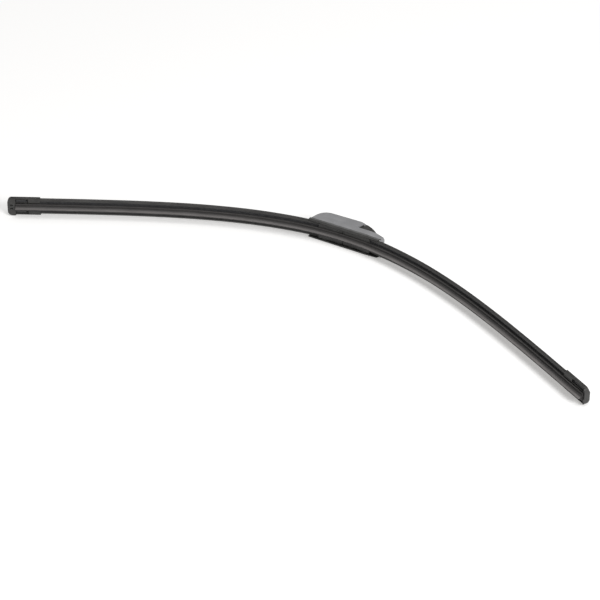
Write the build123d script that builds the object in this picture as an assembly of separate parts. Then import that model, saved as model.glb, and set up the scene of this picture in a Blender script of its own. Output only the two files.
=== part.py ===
from build123d import *
from math import cos, hypot, radians, sin, sqrt
import os

# Frameless wiper blade in its free bow, lying on its side. All sizes are millimetres.
# X runs along the blade at its middle, +Y points to its convex back and +Z goes across it.
# The origin is the middle of the pivot pin.
# Sections are drawn with two coordinates: height above the rails' middle plane, and distance across.
# Side views of the connector give heights over the same plane at the middle of the blade.

# Bow of the spring rails
BLADE_LENGTH = 600.0
BOW_ANGLE = 28.5
BOW_FADE = 1.8
BOW_ARCS = 6

# Spring rails
RAIL_THICKNESS = 0.9
RAIL_WIDTH = 4.75
RAIL_SPACING = 2.5
RAIL_NOTCH_LENGTH = 4.0
RAIL_NOTCH_DEPTH = 0.8
RAIL_NOTCH_PLACE = 18.0

# Wiper rubber, from the head down to the lip
HEAD_WIDTH = 5.2
HEAD_HEIGHT_ABOVE = 1.2
FLANGE_WIDTH = 6.8
FLANGE_HEIGHT = 1.05
NECK_THICKNESS = 1.2
NECK_HEIGHT = 0.6
SHOULDER_WIDTH = 5.4
SHOULDER_HEIGHT = 0.35
WEDGE_HEIGHT = 1.7
WEDGE_HOLLOW = 0.45
LIP_ROOT_THICKNESS = 1.1
LIP_LENGTH = 1.6
LIP_TIP_THICKNESS = 0.7

# Spoiler extrusion
CLAW_DEPTH = 1.15
CLAW_INNER = 5.5
WING_WIDTH = 15.4
WING_EDGE_LOW = -0.2
WING_EDGE_HIGH = 0.9
WING_EDGE_RADIUS = 0.45
FIN_ROOT_HEIGHT = 3.4
FIN_ROOT_THICKNESS = 3.2
FIN_HEIGHT = 6.2
FIN_TIP_THICKNESS = 1.2
BACK_HOLLOW_HEIGHT = 1.75
BACK_HOLLOW_PLACE = 4.2
SPOILER_FROM_TIP = 17.5

# End caps
CAP_LENGTH = 28.5
CAP_WALL = 0.6
LEFT_BLOCK_LENGTH = 7.0
RIGHT_BLOCK_LENGTH = 1.8
CAP_BLOCK_DEPTH = 2.3
CAP_TIP_HEIGHT = 3.0
CAP_ROOF_ANGLE = 17.0
CAP_ROOF_RADIUS = 3.4
CAP_CORNER_RADIUS = 4.2
CAP_WINDOW_WIDTH = 3.0
CAP_WINDOW_LAP = 0.8
CAP_POCKET_LENGTH = 2.4
CAP_POCKET_WIDTH = 1.6
CAP_POCKET_DEPTH = 1.2
CAP_POCKET_SPACING = 3.2

# Connector base
BASE_LENGTH = 50.0
BASE_WIDTH = 14.4
BASE_DEPTH = 1.9
BASE_DECK = 2.4
CHEEK_THICKNESS = 1.3
CHEEK_LENGTH = 30.0
CHEEK_BOSS_RADIUS = 4.0
GUIDE_END = 25.3
GUIDE_TOP = 16.0
GUIDE_END_HEIGHT = 8.4
GUIDE_BULGE = 0.9
GUIDE_SHOULDER = 12.5
SEAM_PLACE = -1.8
SEAM_WIDTH = 0.6
SEAM_DEPTH = 0.5

# Side skirts of the base, which the hood stands on
SKIRT_LEFT = 34.6
SKIRT_SLANT = 2.5
SKIRT_DEPTH = 3.6
SKIRT_INSET = 0.15
WEB_LENGTH = 4.0
WEB_SPACING = 13.0
WEB_COUNT = 4
WEB_INNER = 6.6

# Pivot pin and hook adapter
PIVOT_HEIGHT = 9.6
PIN_DIAMETER = 3.6
BARREL_RADIUS = 2.9
HOOK_WIDTH = 9.0
ADAPTER_NOSE = 5.0
ADAPTER_CORE_LENGTH = 13.0
ADAPTER_CHEEK_RADIUS = 4.2
ADAPTER_TAIL = 20.0
ADAPTER_TAIL_RADIUS = 2.2
CATCH_PLACE = 8.0
CATCH_LENGTH = 3.0
CATCH_WIDTH = 3.2
CATCH_HEIGHT = 0.8

# Hood
HOOD_WIDTH = 18.6
HOOD_FRONT_WIDTH = 18.2
HOOD_END_WIDTH = 17.2
HOOD_WALL = 1.35
HOOD_ROOF = 1.3
HOOD_LEFT = 36.0
HOOD_RIGHT = 36.2
HOOD_FLAT_LEFT = 12.0
HOOD_FLAT_RIGHT = 22.0
HOOD_SIDE_RADIUS = 90.0
HOOD_END_RADIUS = 2.2
HOOD_RIM = -0.2
HOOD_END_DEPTH = 2.4
HOOD_FRONT_SLOPE = 4.0
HOOD_BACK_HEIGHT = 17.8
HOOD_BACK_SLOPE = 0.03
HOOD_TAIL_HEIGHT = 23.4
HOOD_TAIL_SLOPE = -0.6
HOOD_CROWN_RADIUS = 13.5
HOOD_TAIL_RADIUS = 14.0
HOOD_EDGE_RADIUS = 4.5
HOOD_INNER_EDGE_RADIUS = 2.0
ARM_SLOT_WIDTH = 12.6
ARM_SLOT_START = 9.0
END_GAP_WIDTH = 8.8
JAMB_FOOT = 8.2
JAMB_SLOPE = 3.0
SILL_HEIGHT = 6.0
SILL_END = 26.5
SILL_TIP_HEIGHT = 3.1
SNAP_RIB_PLACE = 7.0
SNAP_RIB_LENGTH = 6.0
SNAP_RIB_REACH = 0.5
SNAP_RIB_HEIGHT = 0.9
SNAP_GROOVE_LOW = -0.3

# Clearances
RAIL_CLEARANCE = 0.05
RUBBER_CLEARANCE = 0.15
FLANGE_CLEARANCE = 0.4
CAP_CLEARANCE = 0.1
END_CLEARANCE = 0.3
PIN_FIT = 0.02
PIN_RUNNING = 0.05
ADAPTER_CLEARANCE = 0.3
HOOK_CLEARANCE = 0.2
HOOD_CLEARANCE = 0.2
SEAT_CLEARANCE = 0.15
SNAP_CLEARANCE = 0.15
JAMB_CLEARANCE = 0.35
SAME_PLACE = 0.001

# Values that follow from the sizes above
HALF_LENGTH = BLADE_LENGTH / 2
ARC_LENGTH = HALF_LENGTH / BOW_ARCS
RAIL_INNER = RAIL_SPACING / 2
RAIL_OUTER = RAIL_INNER + RAIL_WIDTH
RAIL_SLOT_HALF = RAIL_THICKNESS / 2 + RAIL_CLEARANCE
RAIL_SLOT_OUTER = RAIL_OUTER + RAIL_CLEARANCE
HEAD_CHANNEL_HALF = HEAD_WIDTH / 2 + RUBBER_CLEARANCE
HEAD_CHANNEL_TOP = HEAD_HEIGHT_ABOVE + RUBBER_CLEARANCE
FLANGE_TOP = -BASE_DEPTH - FLANGE_CLEARANCE
WING_HALF = WING_WIDTH / 2
STRIP_LEFT = LEFT_BLOCK_LENGTH + END_CLEARANCE - HALF_LENGTH
STRIP_RIGHT = HALF_LENGTH - RIGHT_BLOCK_LENGTH - END_CLEARANCE
SPOILER_START = BASE_LENGTH / 2 + END_CLEARANCE
SPOILER_END = HALF_LENGTH - SPOILER_FROM_TIP
CAP_CLAW_INNER = FLANGE_WIDTH / 2 + RUBBER_CLEARANCE + CAP_CLEARANCE
CHEEK_OUTER = BASE_WIDTH / 2
CHEEK_INNER = CHEEK_OUTER - CHEEK_THICKNESS
ADAPTER_HALF = CHEEK_INNER - ADAPTER_CLEARANCE
HOOK_SLOT_HALF = HOOK_WIDTH / 2 + HOOK_CLEARANCE
HOOD_HALF = HOOD_WIDTH / 2
HOOD_INNER = HOOD_HALF - HOOD_WALL
HOOD_END_INNER = HOOD_RIGHT - HOOD_WALL
SKIRT_RIGHT = HOOD_END_INNER - SEAT_CLEARANCE


def knot_turn(knot):
    """Turn of the rails from the middle to a knot: it nears BOW_ANGLE as the bend fades to the tip."""
    share_left = 1 - knot / BOW_ARCS
    return radians(BOW_ANGLE) * (1 - share_left ** (BOW_FADE + 1))


def bow_at(station):
    """Place and turn of the rails' middle line at a distance along it, positive to the right."""
    side = 1 if station >= 0 else -1
    x, y, turn = 0.0, -PIVOT_HEIGHT, 0.0
    left_over = abs(station)
    knot = 0
    while left_over > 0:
        span = min(left_over, ARC_LENGTH)
        bend = (knot_turn(knot + 1) - knot_turn(knot)) * span / ARC_LENGTH
        radius = span / bend
        x += radius * (sin(turn + bend) - sin(turn))
        y += radius * (cos(turn + bend) - cos(turn))
        turn += bend
        left_over -= span
        knot += 1
    return side * x, y, side * turn


def bow_plane(station):
    """Plane square to the rails at a station, its x away from the glass and its y across the blade."""
    x, y, turn = bow_at(station)
    return Plane(origin=(x, y, 0), x_dir=(sin(turn), cos(turn), 0), z_dir=(cos(turn), -sin(turn), 0))


def bow_path(start, end):
    """Chain of tangent arcs along the rails' middle line."""
    knots = [side * knot * ARC_LENGTH for side in (-1, 1) for knot in range(BOW_ARCS)]
    stations = sorted({start, end} | {knot for knot in knots if start < knot < end})
    arcs = []
    for first, last in zip(stations, stations[1:]):
        points = [bow_at(station)[:2] for station in (first, (first + last) / 2, last)]
        arcs.append(ThreePointArc(*points))
    return Wire(arcs)


def along_bow(section, start, end):
    """Carry a section along the rails from one station to another."""
    return sweep(bow_plane(start).location * section, path=bow_path(start, end))


def mirrored_face(edges):
    """Face of a section that is the same on both sides, from its edges on one side."""
    other_side = [mirror(edge, about=Plane.XZ) for edge in edges]
    return make_face(edges + other_side)


def bulged_arc(start, end, bulge):
    """Arc between two points whose middle lies a distance to the left of the straight way."""
    run, rise = end[0] - start[0], end[1] - start[1]
    length = hypot(run, rise)
    middle_x = (start[0] + end[0]) / 2 - bulge * rise / length
    middle_y = (start[1] + end[1]) / 2 + bulge * run / length
    return ThreePointArc(start, (middle_x, middle_y), end)


def side_prism(face, inner, outer):
    """Solid of a side-view face, drawn in X and Y, between two distances across the blade."""
    return extrude(Location((0, 0, inner)) * face, amount=outer - inner)


def box_between(low, high):
    """Box between two corners."""
    size = [b - a for a, b in zip(low, high)]
    middle = [(a + b) / 2 for a, b in zip(low, high)]
    return Location(middle) * Box(*size)


def hull_of_circles(start, start_radius, end, end_radius):
    """Side-view outline of two circles on the pivot's level and the tangents that join them."""
    lean = (start_radius - end_radius) / (end - start)
    rise = sqrt(1 - lean ** 2)
    tangents = [
        (start + start_radius * lean, start_radius * rise),
        (end + end_radius * lean, end_radius * rise),
        (end + end_radius * lean, -end_radius * rise),
        (start + start_radius * lean, -start_radius * rise),
    ]
    middle = make_face(Polyline(*tangents, close=True))
    return middle + Pos(start, 0) * Circle(start_radius) + Pos(end, 0) * Circle(end_radius)


# Rubber and rails


def rubber_section():
    """Lip, hollow-sided wedge, neck and flange, and the head with a groove on each side for a rail."""
    neck_top = FLANGE_TOP - FLANGE_HEIGHT
    shoulder = neck_top - NECK_HEIGHT
    wedge = shoulder - SHOULDER_HEIGHT
    root = wedge - WEDGE_HEIGHT
    tip = root - LIP_LENGTH
    groove = RAIL_INNER - RAIL_CLEARANCE
    lip_root = (root, LIP_ROOT_THICKNESS / 2)
    wedge_corner = (wedge, SHOULDER_WIDTH / 2)
    lip = Polyline((tip, 0), (tip, LIP_TIP_THICKNESS / 2), lip_root)
    flare = bulged_arc(lip_root, wedge_corner, -WEDGE_HOLLOW)
    upper = Polyline(
        wedge_corner,
        (shoulder, SHOULDER_WIDTH / 2),
        (shoulder, NECK_THICKNESS / 2),
        (neck_top, NECK_THICKNESS / 2),
        (neck_top, FLANGE_WIDTH / 2),
        (FLANGE_TOP, FLANGE_WIDTH / 2),
        (FLANGE_TOP, HEAD_WIDTH / 2),
        (-RAIL_SLOT_HALF, HEAD_WIDTH / 2),
        (-RAIL_SLOT_HALF, groove),
        (RAIL_SLOT_HALF, groove),
        (RAIL_SLOT_HALF, HEAD_WIDTH / 2),
        (HEAD_HEIGHT_ABOVE, HEAD_WIDTH / 2),
        (HEAD_HEIGHT_ABOVE, 0),
    )
    return mirrored_face([lip, flare, upper])


def make_rubber():
    """The whole strip, from one end block to the other."""
    return along_bow(rubber_section(), STRIP_LEFT, STRIP_RIGHT)


def make_rail(side):
    """One spring strip, notched on its outer edge where the caps and the base hold it lengthways."""
    middle = side * (RAIL_INNER + RAIL_OUTER) / 2
    section = Pos(0, middle) * Rectangle(RAIL_THICKNESS, RAIL_WIDTH)
    rail = along_bow(section, STRIP_LEFT, STRIP_RIGHT)
    for station in (RAIL_NOTCH_PLACE - HALF_LENGTH, 0, HALF_LENGTH - RAIL_NOTCH_PLACE):
        notch = Box(2 * RAIL_THICKNESS, 2 * RAIL_NOTCH_DEPTH, RAIL_NOTCH_LENGTH)
        rail -= bow_plane(station).location * Pos(0, side * RAIL_OUTER) * notch
    return rail


# Spoiler


def spoiler_outline(grown):
    """Outer face of the spoiler, or a face that clears it: thin wings and a fin with hollow flanks."""
    bottom = -CLAW_DEPTH - grown
    wing = WING_HALF + grown
    fin_half = FIN_TIP_THICKNESS / 2 + grown
    fin_round = FIN_HEIGHT + grown - fin_half
    wing_top = (WING_EDGE_HIGH + grown, wing)
    hollow = (BACK_HOLLOW_HEIGHT + grown, BACK_HOLLOW_PLACE + grown)
    fin_root = (FIN_ROOT_HEIGHT + grown, FIN_ROOT_THICKNESS / 2 + grown)
    fin_end = (fin_round, fin_half)
    slant = fin_half * cos(radians(45))
    face = mirrored_face([
        Polyline((bottom, 0), (bottom, CLAW_INNER), (WING_EDGE_LOW - grown, wing), wing_top),
        ThreePointArc(wing_top, hollow, fin_root),
        Line(fin_root, fin_end),
        ThreePointArc(fin_end, (fin_round + slant, slant), (fin_round + fin_half, 0)),
    ])
    wing_edges = [corner for corner in face.vertices() if abs(abs(corner.Y) - wing) < SAME_PLACE]
    return fillet(wing_edges, WING_EDGE_RADIUS)


def spoiler_section():
    """The outer face less the rails' slot, the room for the rubber's head and the way between the claws."""
    rails = Rectangle(2 * RAIL_SLOT_HALF, 2 * RAIL_SLOT_OUTER)
    head = Pos(HEAD_CHANNEL_TOP, 0) * Rectangle(
        HEAD_CHANNEL_TOP + CLAW_DEPTH, 2 * HEAD_CHANNEL_HALF, align=(Align.MAX, Align.CENTER)
    )
    claws_apart = Rectangle(2 * CLAW_DEPTH, 2 * CLAW_INNER, align=(Align.MAX, Align.CENTER))
    return spoiler_outline(0) - rails - head - claws_apart


def make_spoiler(side):
    """One cut length of the extrusion, from the connector base into an end cap."""
    stations = sorted((side * SPOILER_START, side * SPOILER_END))
    return along_bow(spoiler_section(), *stations)


# End caps


def make_cap(side, block_length, pocket_sides):
    """Cap of one end: a sleeve round the spoiler, its roof sloping down to a solid block at the tip."""
    tip = bow_plane(side * HALF_LENGTH)
    inward = Plane(origin=tip.origin, x_dir=tip.x_dir, z_dir=tip.z_dir * -side)
    outer_section = spoiler_outline(CAP_CLEARANCE + CAP_WALL)
    block_width = WING_WIDTH + 2 * (CAP_CLEARANCE + CAP_WALL)
    roof = FIN_HEIGHT + CAP_CLEARANCE + CAP_WALL

    sleeve = extrude(outer_section, CAP_LENGTH)
    block_low = Pos(-CAP_BLOCK_DEPTH, 0) * Rectangle(
        CAP_BLOCK_DEPTH, block_width, align=(Align.MIN, Align.CENTER)
    )
    body = sleeve + extrude(block_low, block_length)

    end_view = Pos(CAP_TIP_HEIGHT, 0) * Rectangle(
        2 * CAP_LENGTH, block_width, align=(Align.MAX, Align.CENTER)
    )
    end_view = fillet(end_view.vertices().group_by(Axis.X)[-1], CAP_ROOF_RADIUS)
    body &= extrude(end_view, CAP_LENGTH, taper=-CAP_ROOF_ANGLE)

    plan = fillet(
        (Pos(0, CAP_LENGTH) * Rectangle(block_width, 2 * CAP_LENGTH)).vertices().group_by(Axis.Y)[0],
        CAP_CORNER_RADIUS,
    )
    plan_view = Plane(origin=(0, 0, 0), x_dir=(0, 1, 0), z_dir=(1, 0, 0))
    body &= extrude(plan_view * plan, 2 * roof, both=True)

    spoiler_depth = SPOILER_FROM_TIP - END_CLEARANCE
    body -= Pos(0, 0, spoiler_depth) * extrude(spoiler_outline(CAP_CLEARANCE), CAP_LENGTH)
    rail_room = Rectangle(
        2 * (RAIL_SLOT_HALF + CAP_CLEARANCE), 2 * (RAIL_SLOT_OUTER + CAP_CLEARANCE)
    )
    head_room = Rectangle(
        HEAD_CHANNEL_TOP + CAP_CLEARANCE, 2 * (HEAD_CHANNEL_HALF + CAP_CLEARANCE),
        align=(Align.MIN, Align.CENTER),
    )
    rubber_room = Rectangle(CAP_LENGTH, 2 * CAP_CLAW_INNER, align=(Align.MAX, Align.CENTER))
    body -= Pos(0, 0, block_length) * extrude(rail_room + head_room + rubber_room, CAP_LENGTH)

    window_length = spoiler_depth + CAP_WINDOW_LAP - block_length
    window = Rectangle(CAP_LENGTH, CAP_WINDOW_WIDTH, align=(Align.MAX, Align.CENTER))
    pocket = Box(2 * CAP_POCKET_DEPTH, CAP_POCKET_WIDTH, CAP_POCKET_LENGTH)
    for across in (-1, 1):
        place = across * (CAP_CLAW_INNER + WING_HALF) / 2
        body -= Pos(-RAIL_SLOT_HALF, place, block_length) * extrude(window, window_length)
    for across in pocket_sides:
        body -= Pos(-CAP_BLOCK_DEPTH, across * CAP_POCKET_SPACING / 2, block_length / 2) * pocket
    return inward.location * body


# Connector


def rail_line_height(station):
    """Height of the rails' middle line over the pivot's level, near the middle of the blade."""
    return bow_at(station)[1]


def crossing(first, second):
    """Crossing of two side-view lines, each given as height at the middle and slope."""
    x = (second[0] - first[0]) / (first[1] - second[1])
    return x, first[0] + first[1] * x - PIVOT_HEIGHT


def hood_plan(inset):
    """Upright prism of the hood's plan view, or the skirts': flat sides that draw in to both ends."""
    half = HOOD_HALF - inset
    front_half = HOOD_FRONT_WIDTH / 2 - inset
    end_half = HOOD_END_WIDTH / 2 - inset
    left, right = -HOOD_LEFT - HOOD_WALL, HOOD_RIGHT - inset
    plan = make_face(Polyline(
        (left, -front_half), (-HOOD_FLAT_LEFT, -half), (HOOD_FLAT_RIGHT, -half), (right, -end_half),
        (right, end_half), (HOOD_FLAT_RIGHT, half), (-HOOD_FLAT_LEFT, half), (left, front_half),
        close=True,
    ))
    side_corners = [corner for corner in plan.vertices() if abs(abs(corner.Y) - half) < SAME_PLACE]
    plan = fillet(side_corners, HOOD_SIDE_RADIUS)
    plan = fillet(plan.vertices().group_by(Axis.X)[-1], HOOD_END_RADIUS)
    plan_view = Plane(origin=(0, 0, 0), x_dir=(1, 0, 0), z_dir=(0, -1, 0))
    return extrude(plan_view * plan, 2 * HOOD_LEFT, both=True)


def make_skirts():
    """Side walls as long as the hood that it stands on, their right ends slanting up."""
    top = HOOD_RIM - SEAT_CLEARANCE - PIVOT_HEIGHT
    low = -SKIRT_DEPTH - PIVOT_HEIGHT
    side_view = make_face(Polyline(
        (-SKIRT_LEFT, low), (-SKIRT_LEFT, top), (SKIRT_RIGHT, top), (SKIRT_RIGHT - SKIRT_SLANT, low),
        close=True,
    ))
    skirts = side_prism(side_view, -HOOD_HALF, HOOD_HALF) & hood_plan(SKIRT_INSET)
    skirts -= side_prism(side_view, -HOOD_INNER, HOOD_INNER)
    first = -(WEB_COUNT - 1) / 2
    for index in range(WEB_COUNT):
        station = (first + index) * WEB_SPACING
        web_low = rail_line_height(station) - BASE_DEPTH
        for across in (-1, 1):
            inner, outer = sorted((across * WEB_INNER, across * (HOOD_INNER + HOOD_WALL / 2)))
            skirts += box_between(
                (station - WEB_LENGTH / 2, web_low, inner), (station + WEB_LENGTH / 2, top, outer)
            )
    return skirts


def make_base():
    """Channel clipped round the rails, with cheeks that carry the pivot pin and skirts under the hood."""
    half = BASE_LENGTH / 2
    outer = Pos(-BASE_DEPTH, 0) * Rectangle(
        BASE_DEPTH + BASE_DECK, BASE_WIDTH, align=(Align.MIN, Align.CENTER)
    )
    rails = Rectangle(2 * RAIL_SLOT_HALF, 2 * RAIL_SLOT_OUTER)
    head = Pos(HEAD_CHANNEL_TOP, 0) * Rectangle(
        HEAD_CHANNEL_TOP + 2 * BASE_DEPTH, 2 * HEAD_CHANNEL_HALF, align=(Align.MAX, Align.CENTER)
    )
    section = outer - rails - head
    for across in (-1, 1):
        groove_height = SNAP_RIB_HEIGHT + 4 * SNAP_CLEARANCE
        groove = Rectangle(groove_height, 2 * SNAP_RIB_REACH, align=(Align.MIN, Align.CENTER))
        section -= Pos(SNAP_GROOVE_LOW, across * CHEEK_OUTER) * groove
    base = along_bow(section, -half, half) + make_skirts()

    foot = -PIVOT_HEIGHT + HEAD_CHANNEL_TOP
    guide_start = JAMB_FOOT + (GUIDE_TOP - SILL_HEIGHT) / JAMB_SLOPE + JAMB_CLEARANCE
    shoulder = JAMB_FOOT + (GUIDE_SHOULDER - SILL_HEIGHT) / JAMB_SLOPE + JAMB_CLEARANCE
    guide_tip = (GUIDE_END, GUIDE_END_HEIGHT - PIVOT_HEIGHT)
    guide_crest = (guide_start, GUIDE_TOP - PIVOT_HEIGHT)
    cheek = make_face([
        Polyline(
            guide_crest, (shoulder, GUIDE_SHOULDER - PIVOT_HEIGHT), (CHEEK_BOSS_RADIUS, 0),
            (-CHEEK_BOSS_RADIUS, 0), (-CHEEK_LENGTH / 2, foot), (GUIDE_END, foot), guide_tip,
        ),
        bulged_arc(guide_crest, guide_tip, GUIDE_BULGE),
    ])
    cheek += Circle(CHEEK_BOSS_RADIUS)
    cheek -= Circle(PIN_DIAMETER / 2 + PIN_FIT)
    for inner, outer_face in ((CHEEK_INNER, CHEEK_OUTER), (-CHEEK_OUTER, -CHEEK_INNER)):
        base += side_prism(cheek, inner, outer_face)

    seam = Pos(-BASE_DEPTH, 0, 0) * Box(2 * SEAM_DEPTH, BASE_WIDTH + 2 * SEAM_DEPTH, SEAM_WIDTH)
    return base - bow_plane(SEAM_PLACE).location * seam


def make_pin():
    """Plain steel pin across both cheeks."""
    return Cylinder(PIN_DIAMETER / 2, 2 * CHEEK_OUTER)


def make_adapter():
    """Clip that the arm's hook closes round: a bored, rounded core, guide flanges and a catch."""
    core = hull_of_circles(-ADAPTER_NOSE, BARREL_RADIUS, ADAPTER_CORE_LENGTH, BARREL_RADIUS)
    flange = hull_of_circles(-ADAPTER_NOSE, ADAPTER_CHEEK_RADIUS, ADAPTER_TAIL, ADAPTER_TAIL_RADIUS)
    adapter = side_prism(core, -ADAPTER_HALF, ADAPTER_HALF)
    for inner, outer in ((HOOK_SLOT_HALF, ADAPTER_HALF), (-ADAPTER_HALF, -HOOK_SLOT_HALF)):
        adapter += side_prism(flange, inner, outer)
    ramp = make_face(Polyline(
        (CATCH_PLACE - CATCH_LENGTH / 2, BARREL_RADIUS),
        (CATCH_PLACE + CATCH_LENGTH / 2, BARREL_RADIUS),
        (CATCH_PLACE + CATCH_LENGTH / 2, BARREL_RADIUS + CATCH_HEIGHT),
        close=True,
    ))
    adapter += side_prism(ramp, -CATCH_WIDTH / 2, CATCH_WIDTH / 2)
    bore = Cylinder(PIN_DIAMETER / 2 + PIN_RUNNING, 4 * ADAPTER_HALF)
    return adapter - bore


def hood_lines(inset):
    """Front, back and tail lines of the hood's side view, moved inwards."""
    lines = [
        (HOOD_FRONT_SLOPE * HOOD_LEFT + HOOD_RIM, HOOD_FRONT_SLOPE),
        (HOOD_BACK_HEIGHT, HOOD_BACK_SLOPE),
        (HOOD_TAIL_HEIGHT, HOOD_TAIL_SLOPE),
    ]
    return [(height - inset * sqrt(1 + slope ** 2), slope) for height, slope in lines]


def hood_form(half_width, inset, edge_radius, foot, right_end):
    """Closed form of the hood's outside or inside: a side view drawn out across, its upper edges rounded."""
    front, back, tail = hood_lines(inset)
    left_end = (foot - front[0]) / front[1]
    crown = crossing(front, back)
    bend = crossing(back, tail)
    end_top = (right_end, tail[0] + tail[1] * right_end - PIVOT_HEIGHT)
    low = foot - PIVOT_HEIGHT
    side_view = make_face(Polyline((left_end, low), crown, bend, end_top, (right_end, low), close=True))
    crown_corner = side_view.vertices().sort_by_distance((crown[0], crown[1], 0))[0]
    side_view = fillet(crown_corner, HOOD_CROWN_RADIUS - inset)
    bend_corner = side_view.vertices().sort_by_distance((bend[0], bend[1], 0))[0]
    side_view = fillet(bend_corner, HOOD_TAIL_RADIUS - inset)
    solid = side_prism(side_view, -half_width, half_width)
    side_edges = solid.edges().filter_by(lambda edge: abs(abs(edge.center().Z) - half_width) < SAME_PLACE)
    upper_edges = [
        edge for edge in side_edges
        if edge.center().Y > low + SAME_PLACE and edge.center().X < right_end - SAME_PLACE
    ]
    return fillet(upper_edges, edge_radius)


def make_hood():
    """Grey shell over the connector, open below, its roof and sides cut away for the arm."""
    rim = HOOD_RIM - PIVOT_HEIGHT
    sill = SILL_HEIGHT - PIVOT_HEIGHT
    end_low = -HOOD_END_DEPTH - PIVOT_HEIGHT
    low_side = make_face(Polyline(
        (0, rim), (0, sill), (SILL_END, sill), (HOOD_RIGHT, SILL_TIP_HEIGHT - PIVOT_HEIGHT),
        (HOOD_RIGHT, end_low), (HOOD_END_INNER, end_low), (HOOD_END_INNER, rim),
        close=True,
    ))
    outside = hood_form(HOOD_HALF, 0, HOOD_EDGE_RADIUS, HOOD_RIM, HOOD_RIGHT)
    outside += side_prism(low_side, -HOOD_HALF, HOOD_HALF)
    outside &= hood_plan(0)
    hood = outside - hood_form(
        HOOD_INNER, HOOD_ROOF, HOOD_INNER_EDGE_RADIUS, HOOD_RIM - HOOD_WALL, HOOD_END_INNER
    )

    for start, end, width in (
        (ARM_SLOT_START, HOOD_END_INNER, ARM_SLOT_WIDTH), (ARM_SLOT_START, 2 * HOOD_RIGHT, END_GAP_WIDTH)
    ):
        hood -= box_between((start, 2 * rim, -width / 2), (end, 2 * HOOD_BACK_HEIGHT, width / 2))
    cutaway = make_face(Polyline(
        (JAMB_FOOT, sill), (JAMB_FOOT + HOOD_BACK_HEIGHT / JAMB_SLOPE, sill + HOOD_BACK_HEIGHT),
        (2 * HOOD_RIGHT, sill + HOOD_BACK_HEIGHT), (2 * HOOD_RIGHT, sill),
        close=True,
    ))
    hood -= side_prism(cutaway, -HOOD_WIDTH, HOOD_WIDTH)
    for start, end in ((-2 * HOOD_LEFT, -SPOILER_START), (SPOILER_START, 2 * HOOD_RIGHT)):
        hood -= along_bow(spoiler_outline(HOOD_CLEARANCE), start, end)

    rib_low = rail_line_height(SNAP_RIB_PLACE) + SNAP_GROOVE_LOW + 2 * SNAP_CLEARANCE
    for station in (-SNAP_RIB_PLACE, SNAP_RIB_PLACE):
        for across in (-1, 1):
            tip = CHEEK_OUTER - SNAP_RIB_REACH + SNAP_CLEARANCE
            inner, outer = sorted((across * tip, across * (HOOD_INNER + HOOD_WALL / 2)))
            hood += box_between(
                (station - SNAP_RIB_LENGTH / 2, rib_low, inner),
                (station + SNAP_RIB_LENGTH / 2, rib_low + SNAP_RIB_HEIGHT, outer),
            )
    return hood


NODES = {
    "wiper_rubber": make_rubber(),
    "spring_rail_upper": make_rail(1),
    "spring_rail_lower": make_rail(-1),
    "spoiler_left": make_spoiler(-1),
    "spoiler_right": make_spoiler(1),
    "end_cap_left": make_cap(-1, LEFT_BLOCK_LENGTH, (-1, 1)),
    "end_cap_right": make_cap(1, RIGHT_BLOCK_LENGTH, ()),
    "connector_base": make_base(),
    "pivot_pin": make_pin(),
    "hook_adapter": make_adapter(),
    "hood": make_hood(),
}

os.makedirs("parts", exist_ok=True)
for name, solid in NODES.items():
    export_step(solid, f"parts/{name}.step")
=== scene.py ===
import bpy
import bmesh
import numpy as np
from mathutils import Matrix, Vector


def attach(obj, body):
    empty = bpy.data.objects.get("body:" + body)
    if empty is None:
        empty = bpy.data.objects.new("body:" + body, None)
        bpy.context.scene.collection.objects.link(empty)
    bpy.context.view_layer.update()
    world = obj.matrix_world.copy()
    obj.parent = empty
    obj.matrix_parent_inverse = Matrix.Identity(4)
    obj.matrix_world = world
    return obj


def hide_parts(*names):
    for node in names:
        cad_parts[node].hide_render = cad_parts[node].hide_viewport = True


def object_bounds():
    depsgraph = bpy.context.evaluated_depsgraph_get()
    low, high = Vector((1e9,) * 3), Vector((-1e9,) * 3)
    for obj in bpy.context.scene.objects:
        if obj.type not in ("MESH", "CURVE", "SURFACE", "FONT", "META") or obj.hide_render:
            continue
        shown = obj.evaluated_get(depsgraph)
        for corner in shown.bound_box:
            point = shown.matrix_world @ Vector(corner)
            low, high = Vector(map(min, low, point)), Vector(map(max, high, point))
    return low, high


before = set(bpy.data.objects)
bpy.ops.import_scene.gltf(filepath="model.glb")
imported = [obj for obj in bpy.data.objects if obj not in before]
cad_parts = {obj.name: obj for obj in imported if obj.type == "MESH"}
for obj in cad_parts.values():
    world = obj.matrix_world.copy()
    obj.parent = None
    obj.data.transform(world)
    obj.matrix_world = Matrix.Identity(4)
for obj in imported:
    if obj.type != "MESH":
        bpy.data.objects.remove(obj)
cad_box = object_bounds()


# Spring rails
# Two flat strips of spring steel, coated black against rust and set to the bow in an oven.
# They lie in the side grooves of the rubber's head, and their undersides show as a dark line beside it.

def new_finish(name, colour, roughness):
    """A material of one Principled shader, with a plain colour and roughness to start from."""
    finish = bpy.data.materials.new(name)
    finish.use_nodes = True
    shader = finish.node_tree.nodes["Principled BSDF"]
    shader.inputs["Base Color"].default_value = (*colour, 1)
    shader.inputs["Roughness"].default_value = roughness
    return finish, finish.node_tree, shader


def speckle(tree, kind, cells, detail=3.0):
    """Noise read from Object or UV coordinates, with so many cells to the metre on each axis."""
    place = tree.nodes.new("ShaderNodeTexCoord")
    stretch = tree.nodes.new("ShaderNodeMapping")
    noise = tree.nodes.new("ShaderNodeTexNoise")
    stretch.inputs["Scale"].default_value = cells
    noise.inputs["Scale"].default_value = 1.0
    noise.inputs["Detail"].default_value = detail
    tree.links.new(place.outputs[kind], stretch.inputs["Vector"])
    tree.links.new(stretch.outputs["Vector"], noise.inputs["Vector"])
    return noise.outputs["Fac"]


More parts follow.
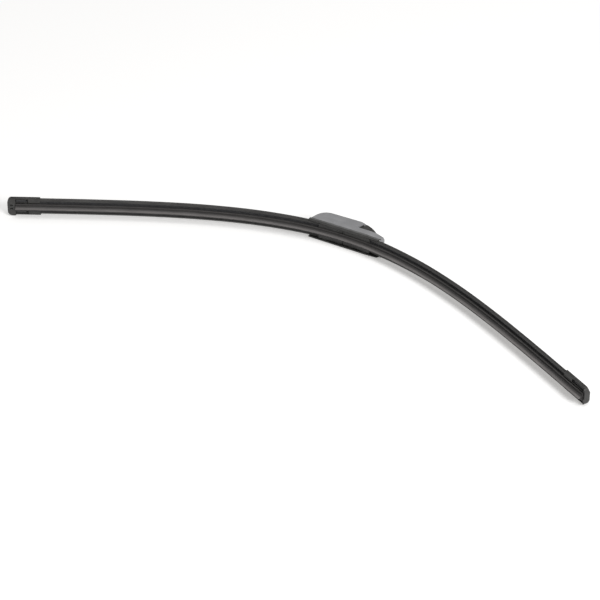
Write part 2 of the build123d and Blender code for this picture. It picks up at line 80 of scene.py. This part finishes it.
def shade_between(tree, pattern, socket, low, high, start=0.35, end=0.65):
    """Carry a pattern to a colour socket: low below the start, high above the end, a mix between."""
    ramp = tree.nodes.new("ShaderNodeValToRGB")
    ramp.color_ramp.elements[0].position = start
    ramp.color_ramp.elements[0].color = (*low, 1)
    ramp.color_ramp.elements[1].position = end
    ramp.color_ramp.elements[1].color = (*high, 1)
    tree.links.new(pattern, ramp.inputs["Fac"])
    tree.links.new(ramp.outputs["Color"], socket)


def value_between(tree, pattern, socket, low, high, start=0.3, end=0.7):
    """Carry a pattern to a number socket: low below the start, high above the end, straight between."""
    spread = tree.nodes.new("ShaderNodeMapRange")
    spread.inputs["From Min"].default_value = start
    spread.inputs["From Max"].default_value = end
    spread.inputs["To Min"].default_value = low
    spread.inputs["To Max"].default_value = high
    tree.links.new(pattern, spread.inputs["Value"])
    tree.links.new(spread.outputs["Result"], socket)


def raise_surface(tree, shader, patterns, edge=0.0):
    """Bump the surface by several patterns in turn, each with its depth in metres and its strength.

    Where an edge radius is given, the light first runs over the edges as if they were rounded by it.
    """
    normal = None
    if edge > 0:
        rounded = tree.nodes.new("ShaderNodeBevel")
        rounded.inputs["Radius"].default_value = edge
        normal = rounded.outputs["Normal"]
    for pattern, depth, strength in patterns:
        bump = tree.nodes.new("ShaderNodeBump")
        bump.inputs["Distance"].default_value = depth
        bump.inputs["Strength"].default_value = strength
        tree.links.new(pattern, bump.inputs["Height"])
        if normal is not None:
            tree.links.new(normal, bump.inputs["Normal"])
        normal = bump.outputs["Normal"]
    tree.links.new(normal, shader.inputs["Normal"])


def dress(finish, *names):
    """Put a finish on the material slots of CAD nodes."""
    for name in names:
        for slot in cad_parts[name].material_slots:
            slot.material = finish


coated_steel, tree, shader = new_finish("coated_spring_steel", (0.045, 0.045, 0.047), 0.4)
shader.inputs["Specular IOR Level"].default_value = 0.5
rolling = speckle(tree, "Object", (90, 900, 900))
shade_between(tree, rolling, shader.inputs["Base Color"], (0.036, 0.036, 0.038), (0.054, 0.054, 0.056))
value_between(tree, rolling, shader.inputs["Roughness"], 0.34, 0.48)
raise_surface(tree, shader, [(rolling, 0.00002, 0.3)])
dress(coated_steel, "spring_rail_upper", "spring_rail_lower")


# Wiper rubber
# One extruded strip of black rubber with lip, hollow wedge, shoulders, neck, flange and grooved head.
# Lip and wedge are dusted with graphite so that they run quietly, which leaves them a soft grey.
# The lip's edge is cut after that and stays black.
# The wedge's root and the neck are darkened as painted shade, and the flange's lower edge is lightened as
# painted light.

# The bow, the outlines and the stations along the bow are in millimetres.
MILLIMETRE = 0.001
BLADE_HALF = 300.0
BOW_ANGLE = np.radians(28.5)
BOW_POWER = 2.8
BOW_ARCS = 6
BOW_KNOTS = np.linspace(0, BLADE_HALF, BOW_ARCS + 1)
BOW_STEPS = 6000
RAIL_LEVEL = -9.6
CREASE_ANGLE = np.radians(35)
WARM_TINT = (1.05, 0.985, 0.965)


def bow_line(stations):
    """Place and turn of the rails' middle line at distances along it from the middle.

    At each knot the turn is BOW_ANGLE times 1 - share ** BOW_POWER, with the share of half length left.
    It grows evenly from knot to knot, and its cosine and sine are summed along the line to x and y.
    """
    knot_turns = BOW_ANGLE * (1 - (1 - BOW_KNOTS / BLADE_HALF) ** BOW_POWER)
    fine = np.linspace(0, BLADE_HALF, BOW_STEPS + 1)
    turn = np.interp(fine, BOW_KNOTS, knot_turns)
    step = fine[1] - fine[0]
    run = np.concatenate([[0], np.cumsum((np.cos(turn[1:]) + np.cos(turn[:-1])) / 2)]) * step
    fall = np.concatenate([[0], np.cumsum((np.sin(turn[1:]) + np.sin(turn[:-1])) / 2)]) * step
    side = np.sign(stations)
    away = np.abs(stations)
    x = side * np.interp(away, fine, run)
    y = RAIL_LEVEL - np.interp(away, fine, fall)
    return x, y, side * np.interp(away, fine, turn)


def soften(corners, cut_back, steps=5):
    """Outline with each corner replaced by a parabola from one edge to the next, starting at its cut back."""
    before = np.roll(corners, 1, axis=0) - corners
    after = np.roll(corners, -1, axis=0) - corners
    cut_back = np.asarray(cut_back)[:, None]
    start = corners + before / np.linalg.norm(before, axis=1, keepdims=True) * cut_back
    end = corners + after / np.linalg.norm(after, axis=1, keepdims=True) * cut_back
    share = np.linspace(0, 1, steps)[None, :, None]
    leaving = (1 - share) ** 2 * start[:, None]
    turning = 2 * share * (1 - share) * corners[:, None]
    joining = share ** 2 * end[:, None]
    return (leaving + turning + joining).reshape(-1, 2)


def both_sides(half):
    """Whole outline from one half of it, given as each corner's height, distance across and cut back."""
    half = np.array(half)
    other = half[::-1] * (1, -1, 1)
    whole = np.concatenate([half, other])
    return soften(whole[:, :2], whole[:, 2])


def carry_along_bow(name, outline, stations, finish):
    """Closed piece made by an outline of heights and distances across, carried square to the bow.

    A point lies at the line's place plus its height along the normal, with its distance across as z.
    The UV map holds the distance along the line and the distance round the outline, in metres.
    The attribute named height holds each point's height, in millimetres.
    """
    x, y, turn = bow_line(stations)
    height, across = outline[:, 0], outline[:, 1]
    points = np.stack([
        x[:, None] + np.sin(turn)[:, None] * height,
        y[:, None] + np.cos(turn)[:, None] * height,
        np.broadcast_to(across, (len(stations), len(outline))),
    ], axis=2).reshape(-1, 3) * MILLIMETRE
    around, rings = len(outline), len(stations)
    ring = np.arange(rings - 1)[:, None] * around
    here = np.arange(around)[None, :]
    there = (here + 1) % around
    quads = np.stack([ring + here, ring + there, ring + there + around, ring + here + around], axis=2)
    ends = [list(range(around))[::-1], list(range((rings - 1) * around, rings * around))]
    mesh = bpy.data.meshes.new(name)
    mesh.from_pydata(points.tolist(), [], quads.reshape(-1, 4).tolist() + ends)

    gaps = np.linalg.norm(np.roll(outline, -1, axis=0) - outline, axis=1)
    girth = np.concatenate([[0], np.cumsum(gaps)]) * MILLIMETRE
    along = np.broadcast_to((stations * MILLIMETRE)[:, None], (rings, around))
    low = np.broadcast_to(girth[:-1], (rings - 1, around))
    high = np.broadcast_to(girth[1:], (rings - 1, around))
    corners = [(along[:-1], low), (along[:-1], high), (along[1:], high), (along[1:], low)]
    side_uv = np.stack([np.stack(pair, axis=2) for pair in corners], axis=2).reshape(-1, 2)
    end_uv = np.concatenate([outline[::-1], outline]) * MILLIMETRE
    layer = mesh.uv_layers.new(name="length_and_girth")
    layer.data.foreach_set("uv", np.concatenate([side_uv, end_uv]).ravel())
    heights = mesh.attributes.new("height", "FLOAT", "POINT")
    heights.data.foreach_set("value", np.tile(height, rings))

    work = bmesh.new()
    work.from_mesh(mesh)
    bmesh.ops.recalc_face_normals(work, faces=work.faces)
    work.to_mesh(mesh)
    work.free()
    mesh.shade_smooth()
    mesh.set_sharp_from_angle(angle=CREASE_ANGLE)
    mesh.materials.append(finish)
    piece = bpy.data.objects.new(name, mesh)
    bpy.context.scene.collection.objects.link(piece)
    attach(piece, "blade")
    return piece


def shade_by_height(tree, pattern, socket, stops, spread):
    """Warm grey by the height attribute, straight between the stops, and a spread of it by a pattern."""
    levels, greys = zip(*stops)
    lowest, highest = levels[0], levels[-1]
    height = tree.nodes.new("ShaderNodeAttribute")
    height.attribute_name = "height"
    ramp = tree.nodes.new("ShaderNodeValToRGB")
    for level in levels[1:-1]:
        ramp.color_ramp.elements.new((level - lowest) / (highest - lowest))
    for stop, grey in zip(ramp.color_ramp.elements, greys):
        stop.color = (*(grey * tint for tint in WARM_TINT), 1)
    vary = tree.nodes.new("ShaderNodeVectorMath")
    vary.operation = "MULTIPLY"
    value_between(tree, height.outputs["Fac"], ramp.inputs["Fac"], 0, 1, lowest, highest)
    tree.links.new(ramp.outputs["Color"], vary.inputs[0])
    shade_between(tree, pattern, vary.inputs[1], (1 - spread,) * 3, (1 + spread,) * 3)
    tree.links.new(vary.outputs["Vector"], socket)


graphite_rubber, tree, shader = new_finish("graphite_rubber", (0.06, 0.06, 0.06), 0.62)
shader.inputs["Specular IOR Level"].default_value = 0.35
shader.inputs["Sheen Weight"].default_value = 0.05
shader.inputs["Sheen Roughness"].default_value = 0.5
dust = speckle(tree, "UV", (60, 1400, 1), 4)
drag = speckle(tree, "UV", (18, 5200, 1), 2)
pores = speckle(tree, "UV", (2500, 2500, 1), 2)
# Height and grey, from the lip's cut edge up to the head. The lip and wedge are graphite grey, and the wedge
# darkens towards its root, partly from thinner graphite and partly as painted shade. The neck is near black
# as painted shade, and the flange is lighter along its lower edge as painted light.
graphite_and_painted_shading = [
    (-7.6, 0.025), (-7.45, 0.025), (-7.2, 0.145), (-5.9, 0.135), (-4.4, 0.035), (-4.25, 0.014), (-3.6, 0.014),
    (-3.45, 0.055), (-2.9, 0.045), (-2.5, 0.03), (1.2, 0.03),
]
shade_by_height(tree, dust, shader.inputs["Base Color"], graphite_and_painted_shading, 0.2)
value_between(tree, drag, shader.inputs["Roughness"], 0.52, 0.72)
raise_surface(tree, shader, [(drag, 0.00003, 0.35), (pores, 0.00002, 0.25)])

# Height, distance across and cut back of each corner, from the lip's tip up to the head
rubber_half = [
    (-7.6, 0.35, 0.12), (-6.0, 0.55, 0.1), (-4.44, 1.07, 1.45), (-4.3, 2.7, 0.12), (-3.95, 2.7, 0.12),
    (-3.95, 0.6, 0.1), (-3.35, 0.6, 0.1), (-3.35, 3.4, 0.15), (-2.3, 3.4, 0.15), (-2.3, 2.6, 0.1),
    (-0.5, 2.6, 0.12), (-0.5, 1.2, 0.1), (0.5, 1.2, 0.1), (0.5, 2.6, 0.12), (1.2, 2.6, 0.2),
]
LEFT_STOP, RIGHT_STOP = 7.3, 2.1
RUBBER_RINGS = 321
stations = np.linspace(LEFT_STOP - BLADE_HALF, BLADE_HALF - RIGHT_STOP, RUBBER_RINGS)
rubber = carry_along_bow("rubber_strip", both_sides(rubber_half), stations, graphite_rubber)
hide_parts("wiper_rubber")


# Spoiler
# Two cut lengths of one black plastic extrusion, slid on from the ends and clipped round the rails.
# Its fin presses the blade down in the wind, and the die leaves fine lines along it.

extruded_black, tree, shader = new_finish("extruded_black", (0.038, 0.037, 0.036), 0.45)
shader.inputs["Specular IOR Level"].default_value = 0.5
die_lines = speckle(tree, "UV", (6, 4200, 1), 2)
bloom = speckle(tree, "UV", (45, 260, 1), 4)
ripple = speckle(tree, "UV", (900, 900, 1), 2)
shade_between(tree, bloom, shader.inputs["Base Color"], (0.031, 0.03, 0.029), (0.046, 0.045, 0.043))
value_between(tree, bloom, shader.inputs["Roughness"], 0.38, 0.54)
raise_surface(tree, shader, [(die_lines, 0.00002, 0.3), (ripple, 0.00001, 0.15)])

# Height, distance across and cut back of each corner: the room for head and rails, then the outside
spoiler_channel = [
    (1.35, 2.75, 0.1), (0.5, 2.75, 0.08), (0.5, 6.05, 0.08), (-0.5, 6.05, 0.08), (-0.5, 5.5, 0.08),
]
spoiler_half = [
    (-1.15, 5.5, 0.12), (-0.2, 7.7, 0.85), (0.9, 7.7, 0.2), (1.45, 2.75, 2.0), (3.4, 1.6, 0.3),
    (5.6, 0.6, 0.3), (6.2, 0.35, 0.2),
]
SPOILER_NEAR, SPOILER_FAR = 25.3, 282.5
SPOILER_RINGS = 141
spoiler_outline = both_sides(spoiler_channel + spoiler_half)
for name, side in (("left", -1), ("right", 1)):
    stations = np.sort(side * np.linspace(SPOILER_NEAR, SPOILER_FAR, SPOILER_RINGS))
    spoiler = carry_along_bow("spoiler_extrusion_" + name, spoiler_outline, stations, extruded_black)
    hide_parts("spoiler_" + name)


# End caps
# Two moulded caps of black plastic with a fine eroded grain, pushed over the ends of the extrusion.
# The left one ends in a block with two pockets and the right one in a thin wall.
# Both stop the rubber and the rails.

CAP_EDGE = 0.0006

moulded_black, tree, shader = new_finish("moulded_black", (0.034, 0.033, 0.032), 0.5)
shader.inputs["Specular IOR Level"].default_value = 0.5
grain = speckle(tree, "Object", (2600, 2600, 2600), 2)
flow = speckle(tree, "Object", (120, 120, 120), 4)
shade_between(tree, flow, shader.inputs["Base Color"], (0.028, 0.027, 0.026), (0.041, 0.04, 0.038))
value_between(tree, grain, shader.inputs["Roughness"], 0.4, 0.56)
raise_surface(tree, shader, [(grain, 0.00004, 0.3)], CAP_EDGE)
dress(moulded_black, "end_cap_left", "end_cap_right")


# Connector base
# One black moulding, clipped round the rails by its claws, with a cheek on each side for the pivot pin.
# The cheeks run on as guides for the arm and show beside the hood's open end.
# Its skirts go on below the hood's sides. Their outer faces are painted greyer above a level as painted
# light, and their lower edge keeps the black as painted shade.

BASE_EDGE = 0.0002
SKIRT_REACH = 0.0087
PAINTED_LIGHT_LEVEL = -0.0114
PAINTED_LIGHT_FADE = 0.0004

moulded_dark, tree, shader = new_finish("moulded_dark", (0.043, 0.042, 0.041), 0.5)
shader.inputs["Specular IOR Level"].default_value = 0.45
grain = speckle(tree, "Object", (2200, 2200, 2200), 2)
flow = speckle(tree, "Object", (150, 150, 150), 4)
place = tree.nodes.new("ShaderNodeTexCoord")
axes = tree.nodes.new("ShaderNodeSeparateXYZ")
away = tree.nodes.new("ShaderNodeMath")
away.operation = "ABSOLUTE"
# Mask of the painted light: the skirts' outer faces above a level. Below that level, the black stands as
# painted shade.
painted_light_mask = tree.nodes.new("ShaderNodeMath")
painted_light_mask.operation = "MULTIPLY"
black_or_painted_light = tree.nodes.new("ShaderNodeMix")
black_or_painted_light.data_type = "RGBA"
tree.links.new(place.outputs["Object"], axes.inputs["Vector"])
tree.links.new(axes.outputs["Z"], away.inputs[0])
value_between(tree, away.outputs[0], painted_light_mask.inputs[0], 0, 1, SKIRT_REACH - PAINTED_LIGHT_FADE, SKIRT_REACH)
value_between(tree, axes.outputs["Y"], painted_light_mask.inputs[1], 0, 1, PAINTED_LIGHT_LEVEL - PAINTED_LIGHT_FADE, PAINTED_LIGHT_LEVEL)
tree.links.new(painted_light_mask.outputs[0], black_or_painted_light.inputs["Factor"])
shade_between(tree, flow, black_or_painted_light.inputs["A"], (0.034, 0.033, 0.032), (0.052, 0.051, 0.049))
# Painted light: the lighter grey on the skirts' outer faces.
shade_between(tree, flow, black_or_painted_light.inputs["B"], (0.1, 0.099, 0.097), (0.132, 0.131, 0.129))
tree.links.new(black_or_painted_light.outputs["Result"], shader.inputs["Base Color"])
value_between(tree, grain, shader.inputs["Roughness"], 0.42, 0.6)
raise_surface(tree, shader, [(grain, 0.00004, 0.3)], BASE_EDGE)
dress(moulded_dark, "connector_base")


# Pivot pin
# A plain steel pin, turned and then pressed through both cheeks.
# The lathe leaves fine rings round it.

turned_steel, tree, shader = new_finish("turned_steel", (0.52, 0.52, 0.53), 0.3)
shader.inputs["Metallic"].default_value = 1.0
rings = speckle(tree, "Object", (200, 200, 9000), 2)
shade_between(tree, rings, shader.inputs["Base Color"], (0.46, 0.46, 0.47), (0.58, 0.58, 0.59))
value_between(tree, rings, shader.inputs["Roughness"], 0.22, 0.4)
raise_surface(tree, shader, [(rings, 0.00001, 0.3)])
dress(turned_steel, "pivot_pin")


# Hook adapter
# A tough black moulding that turns on the pin, and that the arm's hook closes round.
# Its flanges guide the hook, and its catch holds it.

slick_black, tree, shader = new_finish("slick_black", (0.024, 0.024, 0.025), 0.4)
shader.inputs["Specular IOR Level"].default_value = 0.5
grain = speckle(tree, "Object", (2000, 2000, 2000), 2)
flow = speckle(tree, "Object", (400, 400, 400), 4)
shade_between(tree, flow, shader.inputs["Base Color"], (0.019, 0.019, 0.02), (0.03, 0.03, 0.031))
value_between(tree, flow, shader.inputs["Roughness"], 0.32, 0.48)
raise_surface(tree, shader, [(grain, 0.00003, 0.25)])
dress(slick_black, "hook_adapter")


# Hood
# A grey moulded shell with a fine eroded grain, snapped over the connector base.
# Its back is open at one end for the arm, between two low side walls.

HOOD_EDGE = 0.0004

moulded_grey, tree, shader = new_finish("moulded_grey", (0.264, 0.264, 0.27), 0.5)
shader.inputs["Specular IOR Level"].default_value = 0.5
grain = speckle(tree, "Object", (2400, 2400, 2400), 2)
flow = speckle(tree, "Object", (70, 160, 160), 4)
shade_between(tree, flow, shader.inputs["Base Color"], (0.24, 0.24, 0.246), (0.288, 0.288, 0.294))
value_between(tree, grain, shader.inputs["Roughness"], 0.4, 0.56)
raise_surface(tree, shader, [(grain, 0.00005, 0.3)], HOOD_EDGE)
dress(moulded_grey, "hood")


# Floor and surround
# A pale sweep that the blade lies on. To the camera and in reflections it is lifted to white.
# It keeps the shadow, which is a little warm.

FLOOR_LEVEL = cad_box[0][2]
FLOOR_REACH = 6.0
FLOOR_LIFT = 0.37
AIR_STRENGTH = 0.33

floor_mesh = bpy.data.meshes.new("floor")
floor_corners = np.array([[-1, -1], [1, -1], [1, 1], [-1, 1]]) * FLOOR_REACH
floor_mesh.from_pydata(np.column_stack([floor_corners, np.full(4, FLOOR_LEVEL)]).tolist(), [], [[0, 1, 2, 3]])
floor = bpy.data.objects.new("floor", floor_mesh)
bpy.context.scene.collection.objects.link(floor)
white_sweep, tree, shader = new_finish("white_sweep", (0.75, 0.75, 0.75), 0.9)
shader.inputs["Specular IOR Level"].default_value = 0.0
floor_mesh.materials.append(white_sweep)
path_kind = tree.nodes.new("ShaderNodeLightPath")
seen = path_kind.outputs["Is Camera Ray"]
for kind in ("Is Glossy Ray", "Is Transmission Ray"):
    either = tree.nodes.new("ShaderNodeMath")
    either.operation = "MAXIMUM"
    tree.links.new(seen, either.inputs[0])
    tree.links.new(path_kind.outputs[kind], either.inputs[1])
    seen = either.outputs[0]
lift = tree.nodes.new("ShaderNodeMath")
lift.operation = "MULTIPLY"
lift.inputs[1].default_value = FLOOR_LIFT
tree.links.new(seen, lift.inputs[0])
shader.inputs["Emission Color"].default_value = (1, 0.985, 0.965, 1)
tree.links.new(lift.outputs[0], shader.inputs["Emission Strength"])

world = bpy.data.worlds.new("studio")
world.use_nodes = True
bpy.context.scene.world = world
air = world.node_tree.nodes["Background"]
air.inputs["Color"].default_value = (1, 1, 1, 1)
air.inputs["Strength"].default_value = AIR_STRENGTH


# Light
# A soft box above, on the camera's side, as in a product studio, and a smaller one low on the right.
# The second lights the floor under the left arm's rubber, but not under the right arm's.

LIGHT_AIM = (0.0, -0.05, 0.0)


def soft_box(name, place, size, power):
    """A square area light at a place, turned to the aim of the light."""
    lamp = bpy.data.lights.new(name, "AREA")
    lamp.shape = "SQUARE"
    lamp.size = size
    lamp.energy = power
    box = bpy.data.objects.new(name, lamp)
    box.location = place
    to_aim = Vector(LIGHT_AIM) - Vector(place)
    box.rotation_euler = to_aim.to_track_quat("-Z", "Y").to_euler()
    bpy.context.scene.collection.objects.link(box)


soft_box("soft_box_above", (0.5, -0.6, 2.9), 1.8, 29.0)
soft_box("soft_box_right", (2.1, -0.95, 1.5), 1.0, 50.0)


# Camera
# A long lens, well above the blade and to the right of its middle, as the photograph was taken.
# Its length comes from the focal length in pixels of a picture 600 pixels wide.

AZIMUTH, ELEVATION = np.radians(30.6), np.radians(34.0)
DISTANCE = 2.172
AIM = np.array([0.0215, -0.1222, 0.0077])
SENSOR_WIDTH = 36.0
FOCAL_PIXELS = 2656.0
PICTURE_PIXELS = 600

towards = np.array([
    np.sin(AZIMUTH) * np.cos(ELEVATION), -np.cos(AZIMUTH) * np.cos(ELEVATION), np.sin(ELEVATION)
])
lens = bpy.data.cameras.new("camera")
lens.sensor_width = SENSOR_WIDTH
lens.lens = FOCAL_PIXELS / PICTURE_PIXELS * SENSOR_WIDTH
camera = bpy.data.objects.new("camera", lens)
camera.location = AIM + towards * DISTANCE
camera.rotation_euler = (np.pi / 2 - ELEVATION, 0, AZIMUTH)
bpy.context.scene.collection.objects.link(camera)
bpy.context.scene.camera = camera

bpy.context.scene.view_settings.view_transform = "Standard"
